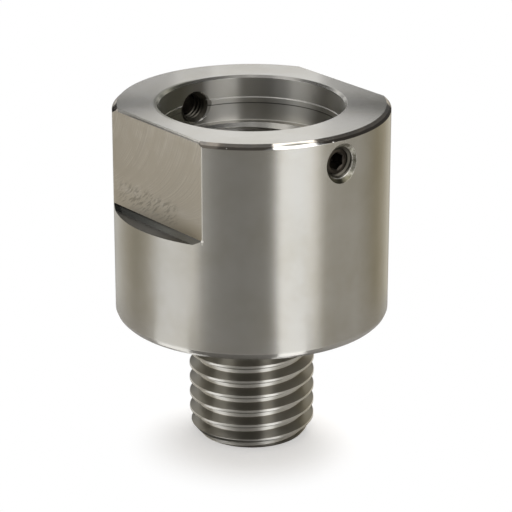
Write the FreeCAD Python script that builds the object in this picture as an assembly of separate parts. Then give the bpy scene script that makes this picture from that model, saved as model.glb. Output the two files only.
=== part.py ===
# Spindle thread adapter: a turned steel cup with an internal spindle thread, a threaded stub under it,
# two milled wrench flats and two grub screws that lock it on the spindle.
# Millimetres, +Z up along the turning axis, origin at the centre of the stub's end face.
# The grub screws lie along X and the wrench flats face -Y and +Y.

import FreeCAD, Part
import math
import os

Vector = FreeCAD.Vector

# Cup
cup_diameter = 54.5
cup_height = 43.6
top_edge_chamfer = 0.95
# The bottom edge is rounded off in a few equal bevels
bottom_edge_radius = 2.0
bottom_edge_bevels = 4

# Stub with the 1 inch, 8 turns per inch male thread
stub_length = 25.6
male_thread_crest_diameter = 25.2
male_thread_pitch = 25.4 / 8
male_crest_flat = male_thread_pitch / 8
male_root_flat = male_thread_pitch / 6
# Where the middle of the groove meets the stub's end face, in degrees from +X
male_thread_start_angle = -129.5
stub_end_chamfer_length = 2.4
stub_end_diameter = 21.4
stub_register_diameter = 25.4
stub_register_length = 3.0
neck_length = 3.2
neck_clearance = 0.2
neck_corner_bevel = 0.5

# Mouth and register bore, measured down from the cup's top face
mouth_chamfer = 0.5
entry_diameter = 36.3
land_diameter = 36.0
land_depth = 4.45
land_height = 1.2
land_lead = 0.15
register_diameter = 36.2
register_depth = 9.35

# Female spindle thread M33 x 3.5, cut as a true helix
spindle_thread_pitch = 3.5
spindle_thread_root_diameter = 33.1
spindle_thread_minor_diameter = 29.3
spindle_thread_root_flat = spindle_thread_pitch / 8
spindle_thread_length = 20.5
# Where the middle of the groove meets the register's floor, in degrees from +X
spindle_thread_start_angle = -62.5
relief_diameter = 34.0
relief_length = 4.0
relief_corner_bevel = 0.8

# Wrench flats, milled down from the top face
across_flats = 46.6
flat_depth = 20.45
flat_corner_bevel = 0.95
flat_edge_break = 0.45

# Grub screws M6 x 6 and their holes
screw_diameter = 6.0
screw_length = 6.0
screw_clearance = 0.05
screw_depth = 5.5
hole_countersink_diameter = 7.9
hole_inner_chamfer = 0.35
front_screw_recess = 1.7
rear_screw_recess = 0.35
screw_outer_chamfer = 0.5
screw_point_diameter = 3.8
socket_across_flats = 3.0
socket_depth = 3.0
socket_mouth_diameter = 3.8
socket_mouth_chamfer = 0.25

# Both threads have flanks at 30 degrees from a plane square to the axis
flank_slope = math.tan(math.radians(30))

# Derived places
cup_radius = cup_diameter / 2
top_z = stub_length + cup_height
shoulder_z = stub_length
thread_top_z = shoulder_z - stub_register_length - neck_length
crest_radius = male_thread_crest_diameter / 2
male_flank_width = (male_thread_pitch - male_crest_flat - male_root_flat) / 2
root_radius = crest_radius - male_flank_width / flank_slope
screw_z = top_z - screw_depth
register_floor_z = top_z - register_depth
spindle_thread_end_z = register_floor_z - spindle_thread_length

# How far a cutter runs clear of the solid, so that it never ends on the face that it cuts
overcut = 1.0
thread_overcut = 0.1


def closed_outline(corners, place):
    """A face inside straight runs between corners given as (first, second)."""
    points = [place(first, second) for first, second in corners]
    return Part.Face(Part.makePolygon(points + points[:1]))


def rounded_corner(radius, height, rounding, bevels):
    """Corners of equal bevels along the rounding between the face below and the wall outside."""
    turn = math.pi / 2 / bevels
    reach = rounding / math.cos(turn / 2)
    corners = [(radius - rounding, height)]
    for number in range(bevels):
        angle = turn * (number + 0.5)
        inward = rounding - reach * math.sin(angle)
        upward = rounding - reach * math.cos(angle)
        corners.append((radius - inward, height + upward))
    corners.append((radius, height + rounding))
    return corners


def turned(corners):
    """A solid of revolution about Z from corners given as (radius, height)."""
    face = closed_outline(corners, lambda radius, height: Vector(radius, 0, height))
    return face.revolve(Vector(0, 0, 0), Vector(0, 0, 1), 360)


def thread_groove(pitch, root_radius, root_flat, mouth_radius, low_z, high_z, angle, angle_z):
    """A right-handed groove, its root inside for a male thread and outside for a female one.

    The middle of the groove passes the angle from +X, in degrees, at the height angle_z.
    """
    root_half_width = root_flat / 2
    mouth_half_width = root_half_width + abs(mouth_radius - root_radius) * flank_slope
    sides = sorted([(root_radius, root_half_width), (mouth_radius, mouth_half_width)])
    inner, inner_half_width = sides[0]
    outer, outer_half_width = sides[1]
    profile = Part.makePolygon([
        Vector(outer, 0, -outer_half_width),
        Vector(inner, 0, -inner_half_width),
        Vector(inner, 0, inner_half_width),
        Vector(outer, 0, outer_half_width),
        Vector(outer, 0, -outer_half_width),
    ])
    turns = math.ceil((high_z - low_z) / pitch)
    start_z = high_z - turns * pitch
    cone_angle = 0
    helix = Part.makeLongHelix(pitch, turns * pitch, outer, cone_angle)
    groove = Part.Wire(helix.Edges).makePipeShell([profile], True, True)
    groove.translate(Vector(0, 0, start_z))
    groove.rotate(Vector(0, 0, 0), Vector(0, 0, 1), angle + 360 * (start_z - angle_z) / pitch)
    return groove


def male_thread_groove():
    """The groove of the stub's thread, from below the stub's end up into the neck."""
    pitch = male_thread_pitch
    high_z = thread_top_z + neck_length / 2
    mouth_radius = crest_radius + thread_overcut
    return thread_groove(
        pitch, root_radius, male_root_flat, mouth_radius, -pitch, high_z, male_thread_start_angle, 0
    )


def spindle_thread_groove():
    """The groove of the spindle thread, from the relief up through the register's floor."""
    pitch = spindle_thread_pitch
    mouth_radius = spindle_thread_minor_diameter / 2 - thread_overcut
    low_z = spindle_thread_end_z - relief_length / 2
    high_z = register_floor_z + pitch / 2
    return thread_groove(
        pitch, spindle_thread_root_diameter / 2, spindle_thread_root_flat, mouth_radius,
        low_z, high_z, spindle_thread_start_angle, register_floor_z
    )


def turned_body():
    """The cup and its stub as they leave the lathe, before the flats, the screw holes and the male thread."""
    neck_radius = root_radius - neck_clearance
    neck_top_z = thread_top_z + neck_length
    root_wall_radius = spindle_thread_root_diameter / 2
    minor_radius = spindle_thread_minor_diameter / 2
    thread_depth = root_wall_radius - minor_radius
    bore_floor_z = spindle_thread_end_z - relief_length
    land_top_z = top_z - land_depth
    land_bottom_z = land_top_z - land_height
    entry_radius = entry_diameter / 2
    outside = [
        (0, 0),
        (stub_end_diameter / 2, 0),
        (crest_radius, stub_end_chamfer_length),
        (crest_radius, thread_top_z),
        (neck_radius + neck_corner_bevel, thread_top_z),
        (neck_radius, thread_top_z + neck_corner_bevel),
        (neck_radius, neck_top_z - neck_corner_bevel),
        (neck_radius + neck_corner_bevel, neck_top_z),
        (stub_register_diameter / 2, neck_top_z),
        (stub_register_diameter / 2, shoulder_z),
        *rounded_corner(cup_radius, shoulder_z, bottom_edge_radius, bottom_edge_bevels),
        (cup_radius, top_z - top_edge_chamfer),
        (cup_radius - top_edge_chamfer, top_z),
    ]
    inside = [
        (entry_radius + mouth_chamfer, top_z),
        (entry_radius, top_z - mouth_chamfer),
        (entry_radius, land_top_z),
        (land_diameter / 2, land_top_z - land_lead),
        (land_diameter / 2, land_bottom_z),
        (register_diameter / 2, land_bottom_z),
        (register_diameter / 2, register_floor_z),
        (root_wall_radius, register_floor_z),
        (minor_radius, register_floor_z - thread_depth),
        (minor_radius, spindle_thread_end_z),
        (relief_diameter / 2, spindle_thread_end_z),
        (relief_diameter / 2, bore_floor_z + relief_corner_bevel),
        (relief_diameter / 2 - relief_corner_bevel, bore_floor_z),
        (0, bore_floor_z),
    ]
    return turned(outside + inside)


def wrench_flat(side):
    """What the cutter takes away to leave one wrench flat; side is -1 or +1 along Y."""
    plane = across_flats / 2
    ledge_z = top_z - flat_depth
    clear = cup_radius + overcut
    face = closed_outline([
        (plane - flat_edge_break, top_z),
        (plane - flat_edge_break, top_z + overcut),
        (clear, top_z + overcut),
        (clear, ledge_z),
        (plane + flat_corner_bevel, ledge_z),
        (plane, ledge_z + flat_corner_bevel),
        (plane, top_z - flat_edge_break),
    ], lambda distance, height: Vector(-clear, side * distance, height))
    return face.extrude(Vector(2 * clear, 0, 0))


def screw_hole(side):
    """One grub screw's hole with its countersink outside and a small chamfer at the bore; side is along X."""
    hole_radius = screw_diameter / 2 + screw_clearance
    land_radius = land_diameter / 2
    inner_start = land_radius - overcut
    inner_chamfer_end = land_radius + hole_inner_chamfer
    rim = hole_countersink_diameter / 2
    profile = closed_outline([
        (inner_start, 0),
        (inner_start, hole_radius + inner_chamfer_end - inner_start),
        (inner_chamfer_end, hole_radius),
        (cup_radius - (rim - hole_radius), hole_radius),
        (cup_radius + overcut, rim + overcut),
        (cup_radius + overcut, 0),
    ], lambda distance, radius: Vector(side * distance, 0, screw_z + radius))
    return profile.revolve(Vector(0, 0, screw_z), Vector(1, 0, 0), 360)


def adapter_body():
    body = turned_body()
    for side in (-1, 1):
        body = body.cut(wrench_flat(side))
        body = body.cut(screw_hole(side))
    return body.cut(male_thread_groove()).cut(spindle_thread_groove())


def hexagonal_socket():
    """The key socket along Z, opening at z = 0 and going down to a flat floor."""
    side_count = 6
    inner_radius = socket_across_flats / 2
    corner_radius = inner_radius / math.cos(math.pi / side_count)
    corners = []
    for number in range(side_count + 1):
        angle = 2 * math.pi * number / side_count
        corners.append(Vector(corner_radius * math.cos(angle), corner_radius * math.sin(angle), overcut))
    hexagon = Part.Face(Part.makePolygon(corners))
    walls = hexagon.extrude(Vector(0, 0, -socket_depth - overcut))
    mouth_radius = socket_mouth_diameter / 2
    mouth_spread = (mouth_radius - inner_radius) / socket_mouth_chamfer
    mouth = turned([
        (0, overcut),
        (mouth_radius + overcut * mouth_spread, overcut),
        (inner_radius, -socket_mouth_chamfer),
        (0, -socket_mouth_chamfer),
    ])
    return walls.fuse(mouth)


def grub_screw(side, recess):
    """A flat point grub screw with its socket outward, its end a recess below the wall; side is along X."""
    radius = screw_diameter / 2
    point_radius = screw_point_diameter / 2
    blank = turned([
        (0, 0),
        (radius - screw_outer_chamfer, 0),
        (radius, -screw_outer_chamfer),
        (radius, -screw_length + (radius - point_radius)),
        (point_radius, -screw_length),
        (0, -screw_length),
    ])
    screw = blank.cut(hexagonal_socket())
    screw.rotate(Vector(0, 0, 0), Vector(0, 1, 0), 90 * side)
    screw.translate(Vector(side * (cup_radius - recess), 0, screw_z))
    return screw


nodes = {
    "adapter_body": adapter_body(),
    "grub_screw_front": grub_screw(1, front_screw_recess),
    "grub_screw_rear": grub_screw(-1, rear_screw_recess),
}

os.makedirs("parts", exist_ok=True)
for name, shape in nodes.items():
    print(name, "valid", shape.isValid(), "solids", len(shape.Solids), "volume mm3", round(shape.Volume, 1))
    shape.exportStep(os.path.join("parts", name + ".step"))
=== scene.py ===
# Looks of the spindle thread adapter: turned and milled steel, the fine threads in its two screw holes,
# and the threaded grub screws, in the CAD frame and in metres.

import math

import bmesh
import bpy
from mathutils import Matrix, Vector

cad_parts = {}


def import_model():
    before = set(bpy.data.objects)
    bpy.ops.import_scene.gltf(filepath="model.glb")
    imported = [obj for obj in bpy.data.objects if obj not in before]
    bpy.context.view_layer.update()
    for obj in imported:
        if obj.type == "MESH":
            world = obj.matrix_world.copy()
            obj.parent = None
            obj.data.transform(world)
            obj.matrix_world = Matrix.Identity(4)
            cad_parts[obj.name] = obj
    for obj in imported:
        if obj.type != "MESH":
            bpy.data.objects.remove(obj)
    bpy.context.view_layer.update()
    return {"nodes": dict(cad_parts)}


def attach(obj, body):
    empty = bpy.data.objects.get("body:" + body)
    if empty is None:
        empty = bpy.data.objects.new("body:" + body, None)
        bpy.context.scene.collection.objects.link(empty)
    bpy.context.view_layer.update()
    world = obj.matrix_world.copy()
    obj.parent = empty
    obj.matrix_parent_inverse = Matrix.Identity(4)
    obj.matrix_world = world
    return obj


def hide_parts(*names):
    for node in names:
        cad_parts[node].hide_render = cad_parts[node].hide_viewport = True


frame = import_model()

MM = 0.001
BODY = "adapter"

# Places and sizes of the CAD solids, in millimetres
TOP_Z = 69.2
CUP_RADIUS = 27.25
SHOULDER_Z = 25.6
FLAT_PLANE = 23.3
FLAT_HALF_WIDTH = math.sqrt(CUP_RADIUS ** 2 - FLAT_PLANE ** 2)
LEDGE_Z = TOP_Z - 20.45
LAND_RADIUS = 18.0
LAND_TOP_Z = TOP_Z - 4.45
LAND_BOTTOM_Z = TOP_Z - 5.65
REGISTER_FLOOR_Z = TOP_Z - 9.35
SCREW_Z = TOP_Z - 5.5
SCREW_LENGTH = 6.0
SCREW_RADIUS = 3.0
SCREW_WALL_RADIUS = 3.05
COUNTERSINK_RADIUS = 3.95
FRONT_RECESS = 1.7
REAR_RECESS = 0.35

# Where the bore's own darker side and painted highlights end, and the painted highlight lines on the stub's
# thread, in millimetres
BORE_LIMIT_RADIUS = 18.9
CREST_LINE_RADIUS = 12.54
ROOT_LINE_RADIUS = 10.74

# Fine threads of the screws and their holes, in millimetres
SCREW_PITCH = 1.0
SCREW_MINOR_RADIUS = 2.5
SCREW_CORE_RADIUS = 2.43
FLANK = math.tan(math.radians(30))
THREAD_SEGMENTS = 48
CORE_SEGMENTS = 64
HOLE_THREAD_START = LAND_RADIUS + 0.35

# Grub screw: edge chamfer, point chamfer and hexagonal key socket, in millimetres
SCREW_CHAMFER = 0.5
POINT_CHAMFER = 1.1
SOCKET_ACROSS = 3.0
SOCKET_DEPTH = 3.0

# Corners closer than these are one corner: in a new mesh, and after a cut
DOUBLED = 0.0001 * MM
SLIVER = 0.003 * MM

# Faces that meet at more than this keep a sharp edge
SHARP_DEGREES = 28

# Face mill that cut the wrench flats, and the wider sweep of its chatter, in millimetres
MILL_RADIUS = 22.0
CHATTER_RADIUS = 28.0
MILL_CENTRE_Z = TOP_Z + 4.8
CHATTER_Z = TOP_Z - 16.6
CHATTER_X = -3.0

# Turned steel, the painted sheen and painted highlights on its edges, and the painted shade in the holes
WHITE = (1.0, 1.0, 1.0)
BRIGHT_STEEL = (0.57, 0.555, 0.52)
DULL_STEEL = (0.52, 0.50, 0.45)
LOW_EDGE_SHEEN = (0.64, 0.625, 0.585)
FLAT_EDGE_HIGHLIGHT = (0.80, 0.78, 0.73)
PAINTED_HIGHLIGHT_WHITE = (0.97, 0.95, 0.90)
HOLE_WALL_SHADE = (0.08, 0.074, 0.06)
THREAD_STEEL = (0.36, 0.345, 0.31)
THREAD_HIGHLIGHT = (0.97, 0.95, 0.90)

# Milled flat: its steel, the painted shade on its right side, the brown painted reflection of the ledge at
# its foot, the chatter, and the painted shade on its top edge
MILLED_LIGHT = (0.83, 0.785, 0.72)
MILLED_DARK = (0.58, 0.54, 0.49)
SHADED_SIDE = (0.80, 0.79, 0.76)
LEDGE_REFLECTION_BROWN = (0.34, 0.29, 0.20)
CHATTER_DARK = (0.29, 0.27, 0.23)
BREAK_SHADE = (0.16, 0.15, 0.13)

# Ledge under the flat: its two ends, the right one darker as painted shade; the factors on its level part
# and its slope, the slope's a painted shade; and the painted shade in its corner
LEDGE_LIGHT = (0.31, 0.31, 0.295)
LEDGE_DARK = (0.17, 0.16, 0.14)
LEDGE_LEVEL_TINT = (0.97, 1.03, 1.18)
LEDGE_SLOPE_SHADE = (0.64, 0.64, 0.62)
LEDGE_CORNER_SHADE = (0.10, 0.095, 0.085)

# Top chamfer: its grime with a foot darkened as painted shade, and the place by azimuth of a strip with a
# painted highlight on its foot and painted shade above it
GRIME_LIGHT = (0.80, 0.71, 0.61)
GRIME_DARK = (0.62, 0.58, 0.53)
CHAMFER_FOOT_SHADE = (0.30, 0.265, 0.225)
LIT_AZIMUTH = 18.3
LIT_UPPER = (0.15, 0.145, 0.125)
LIT_FOOT = (0.85, 0.83, 0.79)

# Bore and screw holes, with painted shade in the countersinks and on the hole threads
DARKER_BORE_SIDE = (0.22, 0.215, 0.165)
LAND_SHADOW = (0.16, 0.155, 0.14)
CONE_LIGHT = (0.46, 0.44, 0.38)
CONE_DARK = (0.20, 0.19, 0.15)
CONE_FOOT_SHADE = (0.15, 0.14, 0.10)
HOLE_THREAD_LIGHT = (0.12, 0.11, 0.09)
HOLE_THREAD_DARK = (0.06, 0.056, 0.046)

# Grub screws
SCREW_DARK = (0.035, 0.030, 0.025)
SCREW_BROWN = (0.10, 0.086, 0.07)

# Nicks on the steel, with painted glints: azimuth from the camera, distance off the axis, height and reach
NICKS = (
    (-9.9, 27.1, TOP_Z - 0.68, 0.15),
    (34.1, 27.2, TOP_Z - 0.85, 0.22),
    (-20.0, 27.23, LEDGE_Z + 0.95, 0.34),
)

# Floor, in metres: half its side, its two tones, and where it turns to white round the part
FLOOR_HALF = 4.0
FLOOR_PALE = (0.86, 0.83, 0.79)
FLOOR_PALER = (0.88, 0.85, 0.815)
FLOOR_SHIFT = -0.006
FLOOR_FADE = (0.010, 0.027)
# White that the floor sends to the camera besides its own shading
FLOOR_LIFT = 0.40
# How far the metal sees the floor as dark
FLOOR_IN_METAL = (0.05, 0.05, 0.05)
FLOOR_IN_METAL_SHARE = 0.68

# Strength of the world's light on what isn't glossy
WORLD_FILL = 0.55

# Round screen that the cup's wall mirrors, in metres
TENT_RADIUS = 0.085
TENT_LOW = 0.0005
TENT_HIGH = 0.20
TENT_STEPS = 96
TENT_STRENGTH = 1.8
TENT_UPPER_GAIN = 1.4
TENT_UPPER_START = (0.075, 0.095)
# What the cup's wall mirrors: azimuth on the wall, the brightness there from 0 to 1, and its warmth
WALL_LIGHT = (
    (-88, 0.12, 0.3), (-82, 0.30, 0.3), (-74, 0.33, 0.5), (-63, 0.24, 1.0), (-56, 0.19, 1.2),
    (-50, 0.23, 1.0), (-45, 0.345, 0.5), (-41, 0.48, 0.0), (-34, 0.51, 0.0), (-28, 0.48, 0.1),
    (-24, 0.45, 0.3), (-21, 0.30, 0.2), (-17, 0.19, 0.2), (-12, 0.155, 0.3), (-4, 0.145, 0.3),
    (4, 0.155, 0.4), (7, 0.175, 0.4), (9, 0.28, 0.2), (12, 0.67, 0.0), (20, 0.67, -0.2),
    (25, 0.62, 0.1), (28, 0.47, 0.4), (31, 0.26, 0.7), (36, 0.24, 0.7), (49, 0.245, 0.7),
    (56, 0.195, 1.2), (63, 0.165, 2.0), (70, 0.23, 1.6), (80, 0.34, 1.0), (88, 0.12, 0.5),
)

# Dome round the cup's mouth, in metres, and the width of its faces
DOME_RADIUS = 0.075
DOME_STEP_DEGREES = 5
# Its panels: name, azimuths, elevations, strength
DOME = (
    ("key_box", 20, 57, 34, 56, 2.2),
    ("key_low", 24, 66, 6, 34, 2.1),
    ("over_key", 20, 57, 56, 74, 0.05),
    ("front_left", -57, -31, 6, 74, 0.42),
    ("front_dark", -31, 20, 6, 74, 0.16),
    ("left_glow", -93, -57, 12, 60, 1.6),
    ("left_break", -108, -93, 14, 58, 0.55),
    ("left_dark", -150, -108, -2, 74, 0.05),
    ("left_dark_low", -108, -93, -2, 14, 0.05),
    ("right_dark", 57, 150, 34, 74, 0.08),
    ("right_low", 66, 148, -2, 34, 0.09),
    ("back_low", 168, 187, 8, 23, 1.06),
    ("back_left", 187, 212, 8, 13.6, 0.85),
    ("back_left_band", 193, 212, 13.6, 18.4, 0.12),
    ("back_left_inner", 187, 193, 13.6, 18.4, 0.85),
    ("back_left_high", 187, 212, 18.4, 23, 0.95),
    ("back_right", 148, 168, 8, 13.6, 0.80),
    ("back_right_band", 148, 168, 13.6, 19.0, 0.08),
    ("back_right_high", 148, 168, 19.0, 23, 0.85),
    ("back_high", 150, 212, 23, 78, 1.15),
    ("zenith", -150, 150, 74, 88, 0.35),
)

# Panels just over the floor, for the stub and the cup's lower edge, in metres
FLOOR_CARD_REACH = (0.018, 0.080)
FLOOR_CARD_HEIGHT = 0.0003
FLOOR_CARD_STEP_DEGREES = 3
# Their names, azimuths and strengths
FLOOR_CARDS = (
    ("floor_key", 19, 39, 1.5),
    ("floor_left", -76, -46, 1.3),
)

# Camera: angles in degrees, lengths in millimetres, and the shift in pixels of the image
CAMERA_AZIMUTH = 51.2
CAMERA_PITCH = 20.79
CAMERA_DISTANCE = 493.9
TARGET_Z = 37.09
LENS = 174.1
SENSOR = 36.0
IMAGE_SIDE = 512
AXIS_LEFT_OF_CENTRE = 4.35


class Nodes:
    """Builds a shader tree in few words."""

    def __init__(self, tree):
        self.tree = tree

    def add(self, kind, **settings):
        node = self.tree.nodes.new(kind)
        for key, value in settings.items():
            setattr(node, key, value)
        return node

    def link(self, source, target):
        self.tree.links.new(source, target)

    def math(self, operation, first, second=None, clamp=False):
        node = self.add("ShaderNodeMath", operation=operation, use_clamp=clamp)
        for socket, value in zip(node.inputs, (first, second)):
            if value is None:
                continue
            if isinstance(value, (int, float)):
                socket.default_value = value
            else:
                self.link(value, socket)
        return node.outputs[0]

    def product(self, *factors):
        result = factors[0]
        for factor in factors[1:]:
            result = self.math("MULTIPLY", result, factor)
        return result

    def length(self, first, second):
        """Length of two values at right angles."""
        squares = [self.math("MULTIPLY", value, value) for value in (first, second)]
        return self.math("SQRT", self.math("ADD", *squares))

    def line(self, value, slope, start):
        """slope times the value, and start added."""
        return self.math("ADD", self.math("MULTIPLY", value, slope), start)

    def step(self, value, low, high):
        """0 under low and 1 over high, smooth between."""
        node = self.add("ShaderNodeMapRange", interpolation_type="SMOOTHSTEP")
        self.link(value, node.inputs["Value"])
        node.inputs["From Min"].default_value = low
        node.inputs["From Max"].default_value = high
        return node.outputs[0]

    def near(self, value, place, reach, fade):
        """1 within reach of a place and 0 beyond reach and fade, in millimetres."""
        away = self.math("ABSOLUTE", self.math("SUBTRACT", value, place * MM))
        return self.step(away, (reach + fade) * MM, reach * MM)

    def spot(self, point, place, reach):
        """1 at a place and 0 beyond reach, in millimetres."""
        away = self.add("ShaderNodeVectorMath", operation="DISTANCE")
        self.link(point, away.inputs[0])
        away.inputs[1].default_value = place * MM
        return self.step(away.outputs["Value"], reach * MM, reach * 0.5 * MM)

    def noise(self, vector, scale, detail=3.0, roughness=0.5):
        node = self.add("ShaderNodeTexNoise")
        node.inputs["Scale"].default_value = scale
        node.inputs["Detail"].default_value = detail
        node.inputs["Roughness"].default_value = roughness
        self.link(vector, node.inputs["Vector"])
        return node.outputs["Fac"]

    def one_way(self, value, scale, detail=2.0, roughness=0.6):
        """Noise that changes along one value only."""
        vector = self.add("ShaderNodeCombineXYZ")
        self.link(value, vector.inputs[0])
        return self.noise(vector.outputs[0], scale, detail, roughness)

    def point(self):
        """The object's own coordinates, in metres."""
        return self.add("ShaderNodeTexCoord").outputs["Object"]

    def parts(self, vector):
        """The three parts of a vector."""
        node = self.add("ShaderNodeSeparateXYZ")
        self.link(vector, node.inputs[0])
        return node.outputs[0], node.outputs[1], node.outputs[2]

    def vector(self, operation, vector, constant):
        node = self.add("ShaderNodeVectorMath", operation=operation)
        self.link(vector, node.inputs[0])
        node.inputs[1].default_value = constant
        return node

    def mix_colour(self, factor, first, second, blend="MIX"):
        node = self.add("ShaderNodeMix", data_type="RGBA", blend_type=blend)
        for socket, value in ((node.inputs[0], factor), (node.inputs[6], first), (node.inputs[7], second)):
            if isinstance(value, (int, float)):
                socket.default_value = value
            elif isinstance(value, tuple):
                socket.default_value = (*value, 1.0)
            else:
                self.link(value, socket)
        return node.outputs[2]

    def rounded(self, radius):
        """Normals that round the edges over a radius in metres."""
        node = self.add("ShaderNodeBevel", samples=6)
        node.inputs["Radius"].default_value = radius
        return node.outputs[0]

    def bump(self, height, strength, distance, normal):
        node = self.add("ShaderNodeBump")
        node.inputs["Strength"].default_value = strength
        node.inputs["Distance"].default_value = distance
        self.link(height, node.inputs["Height"])
        self.link(normal, node.inputs["Normal"])
        return node.outputs[0]

    def surface(self, shader):
        """Makes a shader the material's surface."""
        output = self.add("ShaderNodeOutputMaterial")
        self.link(shader.outputs[0], output.inputs["Surface"])


def new_material(name):
    """A node material, its tree in Nodes, and its Principled shader."""
    material = bpy.data.materials.new(name)
    material.use_nodes = True
    tree = material.node_tree
    return material, Nodes(tree), tree.nodes["Principled BSDF"]


def bare_material(name):
    """A node material and its empty tree in Nodes."""
    material = bpy.data.materials.new(name)
    material.use_nodes = True
    tree = material.node_tree
    tree.nodes.clear()
    return material, Nodes(tree)


def along(azimuth, elevation=0.0):
    """Unit vector at an azimuth to the right of the camera, and an elevation, in degrees."""
    turn = math.radians(azimuth + CAMERA_AZIMUTH - 90)
    rise = math.radians(elevation)
    return Vector((math.cos(turn) * math.cos(rise), math.sin(turn) * math.cos(rise), math.sin(rise)))


def mesh_object(name, vertices, faces):
    mesh = bpy.data.meshes.new(name)
    mesh.from_pydata([tuple(vertex) for vertex in vertices], [], faces)
    mesh.update()
    piece = bpy.data.objects.new(name, mesh)
    bpy.context.scene.collection.objects.link(piece)
    return piece


def ring_solid(name, outline, segments):
    """A closed outline of (radius, height) in millimetres, turned about Z."""
    vertices = []
    faces = []
    count = len(outline)
    for step in range(segments):
        angle = 2 * math.pi * step / segments
        for radius, height in outline:
            vertices.append(Vector((radius * math.cos(angle), radius * math.sin(angle), height)) * MM)
    for step in range(segments):
        here = step * count
        there = (step + 1) % segments * count
        for corner in range(count):
            after = (corner + 1) % count
            faces.append((here + corner, there + corner, there + after, here + after))
    return tidy(mesh_object(name, vertices, faces))


def helix_solid(name, outline, pitch, low, high, segments):
    """A closed outline of (radius, height) swept up a right-handed helix, from low at azimuth 0 to high."""
    vertices = []
    faces = []
    count = len(outline)
    steps = math.ceil((high - low) / pitch * segments)
    for step in range(steps + 1):
        angle = 2 * math.pi * step / segments
        rise = low + pitch * step / segments
        for radius, height in outline:
            point = Vector((radius * math.cos(angle), radius * math.sin(angle), height + rise))
            vertices.append(point * MM)
    for step in range(steps):
        here = step * count
        there = here + count
        for corner in range(count):
            after = (corner + 1) % count
            faces.append((here + corner, there + corner, there + after, here + after))
    faces.append(tuple(range(count)))
    faces.append(tuple(steps * count + corner for corner in reversed(range(count))))
    return tidy(mesh_object(name, vertices, faces))


def tidy(piece):
    """Merges doubled corners, such as those on the axis, and turns every face outward."""
    edit = bmesh.new()
    edit.from_mesh(piece.data)
    bmesh.ops.remove_doubles(edit, verts=edit.verts, dist=DOUBLED)
    loose = [edge for edge in edit.edges if not edge.link_faces]
    bmesh.ops.delete(edit, geom=loose, context="EDGES")
    bmesh.ops.recalc_face_normals(edit, faces=edit.faces)
    edit.to_mesh(piece.data)
    edit.free()
    return piece


def boolean(piece, cutter, operation):
    """Keeps what the operation leaves of piece, and deletes the cutter."""
    modifier = piece.modifiers.new(operation, "BOOLEAN")
    modifier.object = cutter
    modifier.operation = operation
    modifier.solver = "EXACT"
    bpy.context.view_layer.update()
    cut = piece.evaluated_get(bpy.context.evaluated_depsgraph_get())
    made = bpy.data.meshes.new_from_object(cut)
    piece.modifiers.clear()
    piece.data = made
    bpy.data.objects.remove(cutter)
    return without_slivers(piece)


def without_slivers(piece):
    """Merges corners that a cut left a few micrometres apart, and drops the faces that vanish."""
    edit = bmesh.new()
    edit.from_mesh(piece.data)
    bmesh.ops.remove_doubles(edit, verts=edit.verts, dist=SLIVER)
    bmesh.ops.dissolve_degenerate(edit, edges=edit.edges, dist=SLIVER)
    bmesh.ops.triangulate(edit, faces=edit.faces)
    bmesh.ops.dissolve_degenerate(edit, edges=edit.edges, dist=SLIVER)
    flaps = [face for face in edit.faces if sum(edge.is_boundary for edge in face.edges) > 1]
    bmesh.ops.delete(edit, geom=flaps, context="FACES")
    edit.to_mesh(piece.data)
    edit.free()
    return piece


def joined(name, pieces):
    """One object from several."""
    edit = bmesh.new()
    for piece in pieces:
        edit.from_mesh(piece.data)
    mesh = bpy.data.meshes.new(name)
    edit.to_mesh(mesh)
    edit.free()
    for piece in pieces:
        bpy.data.objects.remove(piece)
    made = bpy.data.objects.new(name, mesh)
    bpy.context.scene.collection.objects.link(made)
    return made


def shade(piece):
    """Smooth faces that keep their sharp edges."""
    edit = bmesh.new()
    edit.from_mesh(piece.data)
    for face in edit.faces:
        face.smooth = True
    limit = math.radians(SHARP_DEGREES)
    for edge in edit.edges:
        edge.smooth = not (edge.is_manifold and edge.calc_face_angle(0) > limit)
    edit.to_mesh(piece.data)
    edit.free()
    return piece


def inner_thread_outline(pitch, minor_radius, base_radius):
    """A female thread's ridge: a flat of a quarter pitch inside, 60 degree flanks, a base in the wall."""
    crest = pitch / 8
    base = crest + (base_radius - minor_radius) * FLANK
    return [(minor_radius, -crest), (base_radius, -base), (base_radius, base), (minor_radius, crest)]


def outer_thread_outline(pitch, major_radius, base_radius):
    """A male thread's ridge: a flat of an eighth of the pitch outside, and a base in the core."""
    crest = pitch / 16
    base = crest + (major_radius - base_radius) * FLANK
    return [(major_radius, crest), (base_radius, base), (base_radius, -base), (major_radius, -crest)]


def hole_thread(name, side):
    """The M6 thread in a grub screw's hole, between the countersink and the bore, along X."""
    outer_end = CUP_RADIUS - (COUNTERSINK_RADIUS - SCREW_WALL_RADIUS)
    inner_end = HOLE_THREAD_START
    base_radius = SCREW_WALL_RADIUS + 0.04
    reach = SCREW_MINOR_RADIUS - 0.1
    ridge = helix_solid(
        name,
        inner_thread_outline(SCREW_PITCH, SCREW_MINOR_RADIUS, base_radius),
        SCREW_PITCH, inner_end - 2, outer_end + 1, THREAD_SEGMENTS,
    )
    cone = SCREW_WALL_RADIUS - reach
    room = ring_solid("hole_room", [
        (reach, inner_end + cone),
        (SCREW_WALL_RADIUS, inner_end),
        (base_radius - 0.01, inner_end),
        (base_radius - 0.01, outer_end),
        (SCREW_WALL_RADIUS, outer_end),
        (reach, outer_end - cone),
    ], THREAD_SEGMENTS)
    boolean(ridge, room, "INTERSECT")
    lay_along_x(ridge, side, 0)
    return shade(ridge)


def lay_along_x(piece, side, outer_x):
    """Turns a piece built up Z so that it points out of the cup along X, from outer_x, in its hole."""
    turn = Matrix.Rotation(side * math.pi / 2, 4, "Y")
    move = Matrix.Translation(Vector((side * outer_x, 0, SCREW_Z)) * MM)
    piece.data.transform(move @ turn)


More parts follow.
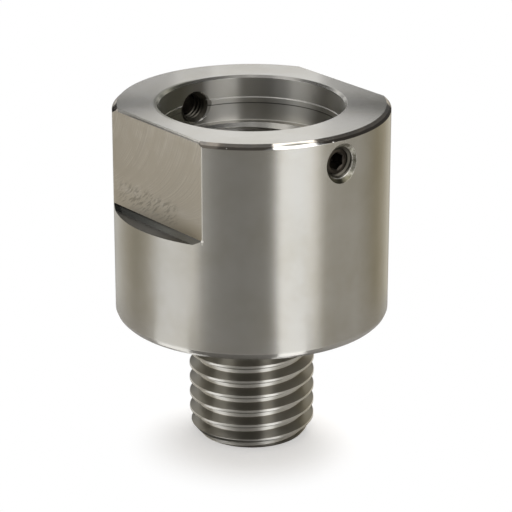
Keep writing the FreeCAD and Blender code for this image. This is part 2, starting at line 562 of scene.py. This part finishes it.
def socket_cutter():
    """The hexagonal key socket, opening upward at z = 0."""
    corner = SOCKET_ACROSS / 2 / math.cos(math.pi / 6)
    vertices = []
    for height in (-SOCKET_DEPTH, 1.0):
        for number in range(6):
            angle = math.pi / 3 * number
            vertices.append(Vector((corner * math.cos(angle), corner * math.sin(angle), height)) * MM)
    faces = [tuple(reversed(range(6))), tuple(range(6, 12))]
    faces += [(number, (number + 1) % 6, (number + 1) % 6 + 6, number + 6) for number in range(6)]
    return tidy(mesh_object("socket_cutter", vertices, faces))


def mouth_cutter():
    """The hollow round the key socket's mouth."""
    return ring_solid("mouth_cutter", [(0.0, -0.4), (1.5, -0.26), (3.3, 1.0), (0.0, 1.0)], THREAD_SEGMENTS)


def grub_screw(name, side, recess):
    """The threaded grub screw that stands for its plain solid."""
    core = ring_solid(name + "_core", [
        (0, 0),
        (SCREW_CORE_RADIUS, 0),
        (SCREW_CORE_RADIUS, -SCREW_LENGTH + 0.53),
        (SCREW_RADIUS - POINT_CHAMFER, -SCREW_LENGTH),
        (0, -SCREW_LENGTH),
    ], CORE_SEGMENTS)
    boolean(core, socket_cutter(), "DIFFERENCE")
    boolean(core, mouth_cutter(), "DIFFERENCE")
    outer_x = CUP_RADIUS - recess
    # The male ridge lies half a pitch from the hole's own
    phase = (HOLE_THREAD_START - outer_x) % SCREW_PITCH - SCREW_PITCH / 2
    ridge = helix_solid(
        name + "_ridge",
        outer_thread_outline(SCREW_PITCH, SCREW_RADIUS - 0.04, SCREW_CORE_RADIUS - 0.05),
        SCREW_PITCH, phase - SCREW_LENGTH - 2, 2.0, THREAD_SEGMENTS,
    )
    room = ring_solid("screw_room", [
        (SCREW_CORE_RADIUS - 0.2, -0.001),
        (SCREW_RADIUS - SCREW_CHAMFER, -0.001),
        (SCREW_RADIUS, -SCREW_CHAMFER),
        (SCREW_RADIUS, -SCREW_LENGTH + POINT_CHAMFER),
        (SCREW_CORE_RADIUS - 0.1, -SCREW_LENGTH + 0.45),
        (SCREW_CORE_RADIUS - 0.2, -SCREW_LENGTH + 0.45),
    ], THREAD_SEGMENTS)
    boolean(ridge, room, "INTERSECT")
    screw = joined(name, [core, ridge])
    lay_along_x(screw, side, outer_x)
    return shade(screw)


def swept_along(nodes, x, z, radius):
    """The same value all along each arc of a cutter of the given radius that goes along X."""
    across = nodes.math("SUBTRACT", z, MILL_CENTRE_Z * MM)
    chord = nodes.math("SUBTRACT", (radius * MM) ** 2, nodes.math("MULTIPLY", across, across))
    reach = nodes.math("SQRT", nodes.math("MAXIMUM", chord, 0.0))
    return nodes.math("SUBTRACT", x, reach)


class BodySteel:
    """Turned steel: rings on walls and faces, milled flats with a chatter patch, stains and dirt."""

    def __init__(self, nodes):
        self.nodes = nodes
        self.point = nodes.point()
        self.x, self.y, self.z = nodes.parts(self.point)
        self.radius = nodes.length(self.x, self.y)
        self.depth = nodes.math("ABSOLUTE", self.y)
        self.over_hole = nodes.math("SUBTRACT", self.z, SCREW_Z * MM)
        self.off_hole = nodes.length(self.over_hole, self.y)
        self.grain = nodes.noise(self.point, 2600.0, 3.0, 0.6)
        unevenness = nodes.math("SUBTRACT", nodes.one_way(self.x, 900.0, 3.0), 0.5)
        self.ragged = nodes.math("MULTIPLY", unevenness, 0.3 * MM)

        facing = nodes.parts(nodes.add("ShaderNodeNewGeometry").outputs["True Normal"])
        self.upward = facing[2]
        # near() takes lengths, so the upward part of the normal is scaled as one
        self.sloping = nodes.near(nodes.math("MULTIPLY", self.upward, MM), 0.707, 0.08, 0.04)
        self.front = nodes.step(self.y, 0.001, -0.001)
        self.stub = nodes.step(self.z, SHOULDER_Z * MM, (SHOULDER_Z - 0.2) * MM)
        self.bore = nodes.step(self.radius, (BORE_LIMIT_RADIUS + 0.5) * MM, BORE_LIMIT_RADIUS * MM)
        self.outside = nodes.step(self.radius, (CUP_RADIUS - 1.0) * MM, (CUP_RADIUS - 0.9) * MM)
        self.top_chamfer = nodes.product(self.sloping, self.outside)
        self.ledge = nodes.product(
            nodes.step(self.upward, 0.4, 0.5),
            nodes.step(self.depth, (FLAT_PLANE - 0.05) * MM, FLAT_PLANE * MM),
            nodes.near(self.z, LEDGE_Z, 0.95, 0.1),
        )
        self.flat = nodes.product(
            nodes.step(nodes.math("ABSOLUTE", facing[1]), 0.97, 0.995),
            nodes.near(self.depth, FLAT_PLANE, 0.05, 0.05),
            nodes.step(self.z, (LEDGE_Z - 0.1) * MM, LEDGE_Z * MM),
        )
        self.countersink = nodes.product(
            nodes.step(self.off_hole, (COUNTERSINK_RADIUS + 0.06) * MM, (COUNTERSINK_RADIUS - 0.02) * MM),
            self.outside,
            nodes.step(self.radius, (CUP_RADIUS - 0.005) * MM, (CUP_RADIUS - 0.03) * MM),
        )
        self.fine = nodes.one_way(swept_along(nodes, self.x, self.z, MILL_RADIUS), 2600.0, 4.0, 0.75)
        self.arcs = self.mill_arcs()
        self.chatter = self.chatter_marks()

    def mill_arcs(self):
        """Arcs that the face mill leaves on the flats, broken here and there."""
        nodes = self.nodes
        lowest = MILL_CENTRE_Z - MILL_RADIUS
        strong = nodes.math("MULTIPLY", nodes.math("SUBTRACT", self.fine, 0.5), 3.3)
        within = nodes.step(self.z, lowest * MM, (lowest + 1.5) * MM)
        unbroken = nodes.step(nodes.noise(self.point, 340.0, 3.0, 0.6), 0.34, 0.60)
        return nodes.product(strong, within, unbroken)

    def chatter_marks(self):
        """Ripples of the mill's chatter in one patch of the front flat."""
        nodes = self.nodes
        ripples = nodes.add("ShaderNodeCombineXYZ")
        nodes.link(swept_along(nodes, self.x, self.z, CHATTER_RADIUS), ripples.inputs[0])
        nodes.link(nodes.math("MULTIPLY", self.z, 0.35), ripples.inputs[1])
        return nodes.product(
            self.front,
            nodes.near(self.z, CHATTER_Z, 1.2, 2.0),
            nodes.near(self.x, CHATTER_X, 7.0, 4.0),
            nodes.step(nodes.noise(ripples.outputs[0], 1500.0, 3.0, 0.65), 0.47, 0.60),
        )

    def flat_colour(self):
        """Milled steel with its arcs, painted shade to the right, a brown painted reflection of the ledge
        at the foot, and dark in the chatter.
        """
        nodes = self.nodes
        wide = nodes.one_way(swept_along(nodes, self.x, self.z, MILL_RADIUS), 520.0, 3.0, 0.6)
        tone = nodes.math("ADD", nodes.line(wide, 0.5, 0.30), self.arcs)
        colour = nodes.mix_colour(tone, MILLED_DARK, MILLED_LIGHT)
        # Painted shade on the right side of the front flat
        right = nodes.math("MULTIPLY", self.front, nodes.step(self.x, -0.012, 0.016))
        colour = nodes.mix_colour(1.0, colour, nodes.mix_colour(right, WHITE, SHADED_SIDE), "MULTIPLY")
        # Painted reflection: the ledge mirrored brown in the foot of the front flat
        foot = nodes.product(
            self.front,
            nodes.step(self.z, (LEDGE_Z + 5.0) * MM, (LEDGE_Z + 0.8) * MM),
            nodes.step(self.x, -0.006, 0.011),
        )
        colour = nodes.mix_colour(nodes.math("MULTIPLY", foot, 0.6), colour, LEDGE_REFLECTION_BROWN)
        return nodes.mix_colour(nodes.math("MULTIPLY", self.chatter, 0.55), colour, CHATTER_DARK)

    def stub_colour(self):
        """The male thread, with painted highlights as bright lines on its crest and in its root."""
        nodes = self.nodes
        crest = nodes.step(self.radius, (CREST_LINE_RADIUS - 0.08) * MM, CREST_LINE_RADIUS * MM)
        root = nodes.step(self.radius, (ROOT_LINE_RADIUS + 0.10) * MM, ROOT_LINE_RADIUS * MM)
        return nodes.mix_colour(nodes.math("MAXIMUM", crest, root), THREAD_STEEL, THREAD_HIGHLIGHT)

    def chamfer_colour(self):
        """Grime with painted shade on its foot, and the other way round in the strip whose foot has a
        painted highlight.
        """
        nodes = self.nodes
        smudges = nodes.step(nodes.noise(self.point, 260.0, 3.0, 0.6), 0.35, 0.65)
        height = nodes.math("ADD", self.z, nodes.math("MULTIPLY", self.ragged, 0.8))
        foot = nodes.step(height, (TOP_Z - 0.42) * MM, (TOP_Z - 0.60) * MM)
        grime_and_foot_shade = nodes.mix_colour(foot, nodes.mix_colour(smudges, GRIME_LIGHT, GRIME_DARK), CHAMFER_FOOT_SHADE)
        strip = nodes.mix_colour(foot, LIT_UPPER, LIT_FOOT)
        toward = nodes.vector("DOT_PRODUCT", self.point, along(LIT_AZIMUTH))
        lit = nodes.step(toward.outputs["Value"], 26.35 * MM, 26.65 * MM)
        return nodes.mix_colour(lit, grime_and_foot_shade, strip)

    def cone_colour(self):
        """The countersink, streaked, darker than the body as painted shade, with more painted shade at its
        foot.
        """
        nodes = self.nodes
        drawn = nodes.vector("MULTIPLY", self.point, (0.3, 1.0, 1.0)).outputs[0]
        streaks = nodes.step(nodes.noise(drawn, 1500.0, 3.0, 0.7), 0.35, 0.65)
        colour = nodes.mix_colour(streaks, CONE_DARK, CONE_LIGHT)
        return nodes.mix_colour(nodes.step(self.over_hole, -0.0024, -0.0032), colour, CONE_FOOT_SHADE)

    def ledge_colour(self):
        """The ledge, with painted shade at its right end and on its slope."""
        nodes = self.nodes
        colour = nodes.mix_colour(nodes.step(self.x, 0.001, 0.009), LEDGE_LIGHT, LEDGE_DARK)
        tint = nodes.mix_colour(self.sloping, LEDGE_LEVEL_TINT, LEDGE_SLOPE_SHADE)
        return nodes.mix_colour(1.0, colour, tint, "MULTIPLY")

    def darken_bore_side(self, colour):
        """Darkens one side of the bore, and paints shadow on the line under the land."""
        nodes = self.nodes
        side = nodes.step(nodes.math("ADD", self.x, self.y), -0.0165, -0.022)
        darker_side = nodes.math("MULTIPLY", nodes.math("MULTIPLY", self.bore, side), 0.85)
        colour = nodes.mix_colour(darker_side, colour, DARKER_BORE_SIDE)
        under_land = nodes.math("MULTIPLY", self.bore, nodes.near(self.z, LAND_BOTTOM_Z - 0.07, 0.08, 0.08))
        return nodes.mix_colour(under_land, colour, LAND_SHADOW)

    def shade_break(self, colour):
        """Paints shade on the broken edge over the flat, less of it at its left end."""
        nodes = self.nodes
        edge = nodes.product(
            self.sloping,
            nodes.near(nodes.math("ADD", self.depth, self.ragged), FLAT_PLANE - 0.10, 0.12, 0.04),
            nodes.step(self.z, (TOP_Z - 0.55) * MM, (TOP_Z - 0.45) * MM),
        )
        strength = nodes.line(nodes.step(self.x, -0.013, -0.006), 0.65, 0.1)
        return nodes.mix_colour(nodes.math("MULTIPLY", strength, edge), colour, BREAK_SHADE)

    def colour(self):
        nodes = self.nodes
        stains = nodes.step(nodes.noise(self.point, 90.0, 4.0, 0.6), 0.35, 0.75)
        colour = nodes.mix_colour(stains, BRIGHT_STEEL, DULL_STEEL)
        colour = nodes.mix_colour(self.stub, colour, self.stub_colour())
        colour = nodes.mix_colour(self.top_chamfer, colour, self.chamfer_colour())
        colour = nodes.mix_colour(self.countersink, colour, self.cone_colour())
        # Painted shade: a near-black colour on the walls of the screw holes
        hole_wall = nodes.product(
            nodes.step(self.off_hole, 3.3 * MM, 3.12 * MM),
            nodes.step(self.radius, (LAND_RADIUS + 0.1) * MM, (LAND_RADIUS + 0.4) * MM),
            nodes.step(self.radius, (CUP_RADIUS - 0.7) * MM, (CUP_RADIUS - 0.9) * MM),
        )
        colour = nodes.mix_colour(hole_wall, colour, HOLE_WALL_SHADE)
        # Painted sheen: lighter steel on the rounded lower edge of the cup
        low_edge_sheen = nodes.product(
            nodes.step(self.z, (SHOULDER_Z + 2.1) * MM, (SHOULDER_Z + 1.6) * MM),
            nodes.step(self.z, (SHOULDER_Z - 0.1) * MM, SHOULDER_Z * MM),
            0.6,
        )
        colour = nodes.mix_colour(low_edge_sheen, colour, LOW_EDGE_SHEEN)
        colour = self.shade_break(self.darken_bore_side(colour))
        colour = nodes.mix_colour(self.ledge, colour, self.ledge_colour())
        # Painted shade in the corner between the flat and the ledge
        ledge_corner_shade = nodes.math("MULTIPLY", self.ledge, nodes.near(self.depth, FLAT_PLANE, 0.12, 0.22))
        colour = nodes.mix_colour(ledge_corner_shade, colour, LEDGE_CORNER_SHADE)
        colour = nodes.mix_colour(self.flat, colour, self.flat_colour())
        # Painted highlight: a pale line down the vertical edges of the flats
        flat_edge_highlight = nodes.product(
            nodes.near(nodes.math("ABSOLUTE", self.x), FLAT_HALF_WIDTH, 0.10, 0.08),
            nodes.near(self.depth, FLAT_PLANE, 0.06, 0.06),
            nodes.step(self.z, LEDGE_Z * MM, (LEDGE_Z + 0.3) * MM),
        )
        return nodes.mix_colour(flat_edge_highlight, colour, FLAT_EDGE_HIGHLIGHT)

    def painted_highlights(self):
        """Painted highlights on edges in the bore and the rim of the front hole, and painted glints on the
        nicks, bright whatever they mirror.
        """
        nodes = self.nodes
        land_edge = nodes.math("MULTIPLY", self.bore, nodes.near(self.z, LAND_TOP_Z - 0.07, 0.07, 0.06))
        floor_edge = nodes.product(
            self.bore,
            nodes.step(self.radius, (LAND_RADIUS - 0.1) * MM, LAND_RADIUS * MM),
            nodes.near(self.z, REGISTER_FLOOR_Z, 0.12, 0.06),
        )
        beside_hole = nodes.math("MULTIPLY", nodes.step(self.y, -0.003, -0.007), 0.45)
        edges = nodes.math("MAXIMUM", land_edge, floor_edge)
        bright = nodes.math("MULTIPLY", edges, nodes.math("SUBTRACT", 0.5, beside_hole))
        lower_right = nodes.math("SUBTRACT", nodes.math("MULTIPLY", self.y, 0.8), self.over_hole)
        rim = nodes.product(
            nodes.near(self.off_hole, SCREW_WALL_RADIUS + 0.09, 0.04, 0.05),
            nodes.step(self.grain, 0.38, 0.55),
            nodes.step(self.x, 0.02, 0.024),
            nodes.step(lower_right, 0.0003, 0.0016),
            0.5,
        )
        bright = nodes.math("MAXIMUM", bright, rim)
        for azimuth, off_axis, height, reach in NICKS:
            nick = nodes.spot(self.point, along(azimuth) * off_axis + Vector((0, 0, height)), reach)
            bright = nodes.math("MAXIMUM", bright, nick)
        return bright

    def roughness(self, inner_wall):
        nodes = self.nodes
        turned = nodes.line(self.grain, 0.06, 0.19)
        sharp = nodes.math("SUBTRACT", 1.0, nodes.math("MULTIPLY", self.top_chamfer, 0.55))
        rough = nodes.add("ShaderNodeMix", data_type="FLOAT")
        nodes.link(self.flat, rough.inputs[0])
        nodes.link(nodes.math("MULTIPLY", turned, sharp), rough.inputs[2])
        nodes.link(nodes.line(self.fine, 0.16, 0.30), rough.inputs[3])
        extra = nodes.math("MULTIPLY", inner_wall, 0.15)
        extra = nodes.math("ADD", extra, nodes.math("MULTIPLY", self.stub, 0.08))
        extra = nodes.math("ADD", extra, nodes.math("MULTIPLY", self.countersink, 0.18))
        return nodes.math("ADD", rough.outputs[0], extra)

    def relief(self):
        """Fine rings all over, and the mill's cuts on the flats."""
        nodes = self.nodes
        rings = nodes.math("ADD", nodes.one_way(self.z, 6500.0), nodes.one_way(self.radius, 5200.0))
        turned = nodes.bump(rings, 0.22, 0.00002, nodes.rounded(0.00008))
        cuts = nodes.math("SUBTRACT", self.arcs, nodes.math("MULTIPLY", self.chatter, 0.8))
        return nodes.bump(nodes.math("MULTIPLY", cuts, self.flat), 0.6, 0.00004, turned)


def steel_body():
    """The body's steel, whose highlights are drawn out across its turning rings."""
    material, nodes, shader = new_material("turned_steel")
    steel = BodySteel(nodes)
    bright = steel.painted_highlights()
    inner_wall = nodes.product(steel.bore, nodes.step(nodes.math("ABSOLUTE", steel.upward), 0.5, 0.4))
    ringed = nodes.math("MAXIMUM", inner_wall, nodes.math("MULTIPLY", steel.stub, 0.4))
    tangent = nodes.add("ShaderNodeTangent", direction_type="RADIAL", axis="Z")
    # Painted highlights: a near-white, non-metallic colour wherever their mask is on
    nodes.link(nodes.mix_colour(bright, steel.colour(), PAINTED_HIGHLIGHT_WHITE), shader.inputs["Base Color"])
    nodes.link(nodes.math("SUBTRACT", 1.0, bright), shader.inputs["Metallic"])
    nodes.link(steel.roughness(inner_wall), shader.inputs["Roughness"])
    nodes.link(nodes.line(ringed, 0.14, 0.85), shader.inputs["Anisotropic"])
    shader.inputs["Anisotropic Rotation"].default_value = 0.25
    nodes.link(tangent.outputs[0], shader.inputs["Tangent"])
    nodes.link(steel.relief(), shader.inputs["Normal"])
    return material


def thread_steel():
    """The cut threads of the screw holes, dark with painted shade."""
    material, nodes, shader = new_material("thread_steel")
    point = nodes.point()
    drawn = nodes.vector("MULTIPLY", point, (0.15, 0.15, 1.0)).outputs[0]
    tool_lines = nodes.noise(drawn, 5000.0, 2.0, 0.6)
    nodes.link(nodes.bump(tool_lines, 0.3, 0.00002, nodes.rounded(0.00012)), shader.inputs["Normal"])
    stains = nodes.noise(point, 160.0, 3.0)
    # Painted shade: dark tones for the threads deep in the holes, mixed by a stain noise
    nodes.link(nodes.mix_colour(stains, HOLE_THREAD_LIGHT, HOLE_THREAD_DARK), shader.inputs["Base Color"])
    nodes.link(nodes.line(stains, 0.15, 0.28), shader.inputs["Roughness"])
    shader.inputs["Metallic"].default_value = 1.0
    return material


def screw_steel():
    """Blackened screw steel, worn brown in patches."""
    material, nodes, shader = new_material("screw_steel")
    point = nodes.point()
    speckle = nodes.noise(point, 1800.0, 4.0, 0.65)
    nodes.link(nodes.bump(speckle, 0.3, 0.00003, nodes.rounded(0.00010)), shader.inputs["Normal"])
    patches = nodes.step(nodes.noise(point, 420.0, 3.0), 0.35, 0.7)
    nodes.link(nodes.mix_colour(patches, SCREW_DARK, SCREW_BROWN), shader.inputs["Base Color"])
    nodes.link(nodes.line(speckle, 0.2, 0.30), shader.inputs["Roughness"])
    shader.inputs["Metallic"].default_value = 1.0
    return material


def wear(piece, material):
    piece.data.materials.clear()
    piece.data.materials.append(material)


def dress():
    """Materials on the CAD solids, threads in the holes, and screws that stand for the plain ones."""
    wear(frame["nodes"]["adapter_body"], steel_body())
    thread = thread_steel()
    screw = screw_steel()

    for name, side in (("front_hole_thread", 1), ("rear_hole_thread", -1)):
        piece = hole_thread(name, side)
        wear(piece, thread)
        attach(piece, BODY)

    for name, side, recess, rides_on, node in (
        ("threaded_screw_front", 1, FRONT_RECESS, "front_screw", "grub_screw_front"),
        ("threaded_screw_rear", -1, REAR_RECESS, "rear_screw", "grub_screw_rear"),
    ):
        piece = grub_screw(name, side, recess)
        wear(piece, screw)
        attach(piece, rides_on)
        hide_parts(node)
        wear(frame["nodes"][node], screw)


def floor():
    """A pale floor that keeps the shadow near the part and turns to plain white away from it."""
    half = FLOOR_HALF
    piece = mesh_object(
        "floor",
        [(-half, -half, 0), (half, -half, 0), (half, half, 0), (-half, half, 0)],
        [(0, 1, 2, 3)],
    )
    material, nodes = bare_material("pale_floor")
    point = nodes.point()
    distance = nodes.add("ShaderNodeVectorMath", operation="LENGTH")
    nodes.link(nodes.vector("ADD", point, along(0) * FLOOR_SHIFT).outputs[0], distance.inputs[0])
    path = nodes.add("ShaderNodeLightPath")
    seen = path.outputs["Is Camera Ray"]

    paper = nodes.add("ShaderNodeBsdfDiffuse")
    pale = nodes.mix_colour(nodes.noise(point, 900.0, 3.0), FLOOR_PALE, FLOOR_PALER)
    in_metal = nodes.math("MULTIPLY", path.outputs["Is Glossy Ray"], FLOOR_IN_METAL_SHARE)
    nodes.link(nodes.mix_colour(in_metal, pale, FLOOR_IN_METAL), paper.inputs["Color"])
    glow = nodes.add("ShaderNodeEmission")
    glow.inputs["Color"].default_value = (*WHITE, 1.0)
    nodes.link(nodes.math("MULTIPLY", seen, FLOOR_LIFT), glow.inputs["Strength"])
    shaded = nodes.add("ShaderNodeAddShader")
    nodes.link(paper.outputs[0], shaded.inputs[0])
    nodes.link(glow.outputs[0], shaded.inputs[1])

    white = nodes.add("ShaderNodeEmission")
    white.inputs["Color"].default_value = (*WHITE, 1.0)
    blend = nodes.add("ShaderNodeMixShader")
    away = nodes.step(distance.outputs["Value"], *FLOOR_FADE)
    nodes.link(nodes.math("MULTIPLY", away, seen), blend.inputs[0])
    nodes.link(shaded.outputs[0], blend.inputs[1])
    nodes.link(white.outputs[0], blend.inputs[2])
    nodes.surface(blend)
    piece.data.materials.append(material)


def world():
    """White to the camera and to metal, and a softer fill on the floor."""
    made = bpy.data.worlds.new("studio")
    bpy.context.scene.world = made
    made.use_nodes = True
    tree = made.node_tree
    nodes = Nodes(tree)
    shader = tree.nodes["Background"]
    path = nodes.add("ShaderNodeLightPath")
    seen = nodes.math("ADD", path.outputs["Is Camera Ray"], path.outputs["Is Glossy Ray"])
    seen = nodes.math("ADD", seen, path.outputs["Is Transmission Ray"], clamp=True)
    nodes.link(nodes.line(seen, 1 - WORLD_FILL, WORLD_FILL), shader.inputs["Strength"])
    shader.inputs["Color"].default_value = (*WHITE, 1.0)


def glowing(name, strength):
    """A material that gives off plain white light."""
    material, nodes = bare_material(name)
    glow = nodes.add("ShaderNodeEmission")
    glow.inputs["Color"].default_value = (*WHITE, 1.0)
    glow.inputs["Strength"].default_value = strength
    nodes.surface(glow)
    return material


def only_reflected(piece):
    """A card that shows in the metal alone."""
    piece.visible_camera = False
    piece.visible_diffuse = False
    piece.visible_shadow = False
    piece.visible_transmission = False


def tent_azimuth(wall_azimuth):
    """Azimuth on the tent that the cup's wall mirrors at an azimuth of its own, to the camera's right."""
    shift = math.asin(CUP_RADIUS * MM / TENT_RADIUS * math.sin(math.radians(wall_azimuth)))
    return 2 * wall_azimuth - math.degrees(shift)


def tent_glow():
    """Light by azimuth, brighter over the part than beside it."""
    material, nodes = bare_material("tent")
    x, y, z = nodes.parts(nodes.point())
    turn = nodes.math("DIVIDE", nodes.math("ARCTAN2", y, x), 2 * math.pi)
    ramp = nodes.add("ShaderNodeValToRGB")
    nodes.link(nodes.math("ADD", turn, 0.5), ramp.inputs[0])
    stops = ramp.color_ramp.elements
    places = [(0.0, *WALL_LIGHT[0][1:])]
    places += [(tent_azimuth(azimuth) / 360 + 0.5, value, warmth) for azimuth, value, warmth in WALL_LIGHT]
    places += [(1.0, *WALL_LIGHT[-1][1:])]
    while len(stops) < len(places):
        stops.new(0.5)
    for stop, (place, value, warmth) in zip(stops, places):
        stop.position = place
        stop.color = (value * (1 + 0.06 * warmth), value, value * (0.99 - 0.13 * warmth), 1.0)
    glow = nodes.add("ShaderNodeEmission")
    nodes.link(ramp.outputs[0], glow.inputs["Color"])
    above = nodes.step(z, *TENT_UPPER_START)
    nodes.link(nodes.line(above, TENT_STRENGTH * TENT_UPPER_GAIN, TENT_STRENGTH), glow.inputs["Strength"])
    nodes.surface(glow)
    return material


def tent():
    """A round screen that only the metal sees, brighter and darker by azimuth."""
    vertices = []
    for step in range(TENT_STEPS):
        angle = 2 * math.pi * step / TENT_STEPS
        for height in (TENT_LOW, TENT_HIGH):
            vertices.append((TENT_RADIUS * math.cos(angle), TENT_RADIUS * math.sin(angle), height))
    faces = []
    for step in range(TENT_STEPS):
        here = 2 * step
        there = 2 * ((step + 1) % TENT_STEPS)
        faces.append((here, there, there + 1, here + 1))
    piece = mesh_object("tent", vertices, faces)
    piece.rotation_euler = (0, 0, math.radians(CAMERA_AZIMUTH - 90))
    piece.data.materials.append(tent_glow())
    only_reflected(piece)


def dome_panel(name, start, end, low, high, strength):
    """A panel of a dome round the cup's mouth, between two azimuths and two elevations."""
    across = max(2, round(abs(end - start) / DOME_STEP_DEGREES))
    up = max(2, round(abs(high - low) / DOME_STEP_DEGREES))
    centre = Vector((0, 0, TOP_Z * MM))
    vertices = []
    for row in range(up + 1):
        for column in range(across + 1):
            azimuth = start + (end - start) * column / across
            elevation = low + (high - low) * row / up
            vertices.append(centre + along(azimuth, elevation) * DOME_RADIUS)
    faces = []
    for row in range(up):
        for column in range(across):
            here = row * (across + 1) + column
            faces.append((here, here + 1, here + across + 2, here + across + 1))
    piece = mesh_object(name, vertices, faces)
    piece.data.materials.append(glowing(name, strength))
    only_reflected(piece)


def floor_card(name, start, end, strength):
    """A sector of a ring that lies just over the floor round the stub."""
    across = round((end - start) / FLOOR_CARD_STEP_DEGREES)
    vertices = []
    for column in range(across + 1):
        direction = along(start + (end - start) * column / across)
        for reach in FLOOR_CARD_REACH:
            vertices.append(direction * reach + Vector((0, 0, FLOOR_CARD_HEIGHT)))
    faces = [(2 * column, 2 * column + 1, 2 * column + 3, 2 * column + 2) for column in range(across)]
    piece = mesh_object(name, vertices, faces)
    piece.data.materials.append(glowing(name, strength))
    only_reflected(piece)


def studio():
    tent()
    for panel in DOME:
        dome_panel(*panel)
    for card in FLOOR_CARDS:
        floor_card(*card)


def lamp(name, azimuth, elevation, distance, size, power):
    """A soft square lamp that lights the floor, aimed at the part, in degrees, metres and watts."""
    data = bpy.data.lights.new(name, "AREA")
    data.shape = "SQUARE"
    data.size = size
    data.energy = power
    piece = bpy.data.objects.new(name, data)
    bpy.context.scene.collection.objects.link(piece)
    away = along(azimuth, elevation)
    piece.location = away * distance
    piece.rotation_euler = away.to_track_quat("Z", "Y").to_euler()
    piece.visible_glossy = False


def camera():
    data = bpy.data.cameras.new("camera")
    data.lens = LENS
    data.sensor_width = SENSOR
    data.shift_x = AXIS_LEFT_OF_CENTRE / IMAGE_SIDE
    data.clip_start = 0.01
    data.clip_end = 20.0
    piece = bpy.data.objects.new("camera", data)
    bpy.context.scene.collection.objects.link(piece)
    back = along(0, CAMERA_PITCH)
    piece.location = Vector((0, 0, TARGET_Z * MM)) + back * CAMERA_DISTANCE * MM
    piece.rotation_euler = back.to_track_quat("Z", "Y").to_euler()
    bpy.context.scene.camera = piece


camera()
dress()
floor()
world()
studio()
lamp("overhead", azimuth=165, elevation=60, distance=0.8, size=0.5, power=7.0)
bpy.context.scene.view_settings.view_transform = "Standard"
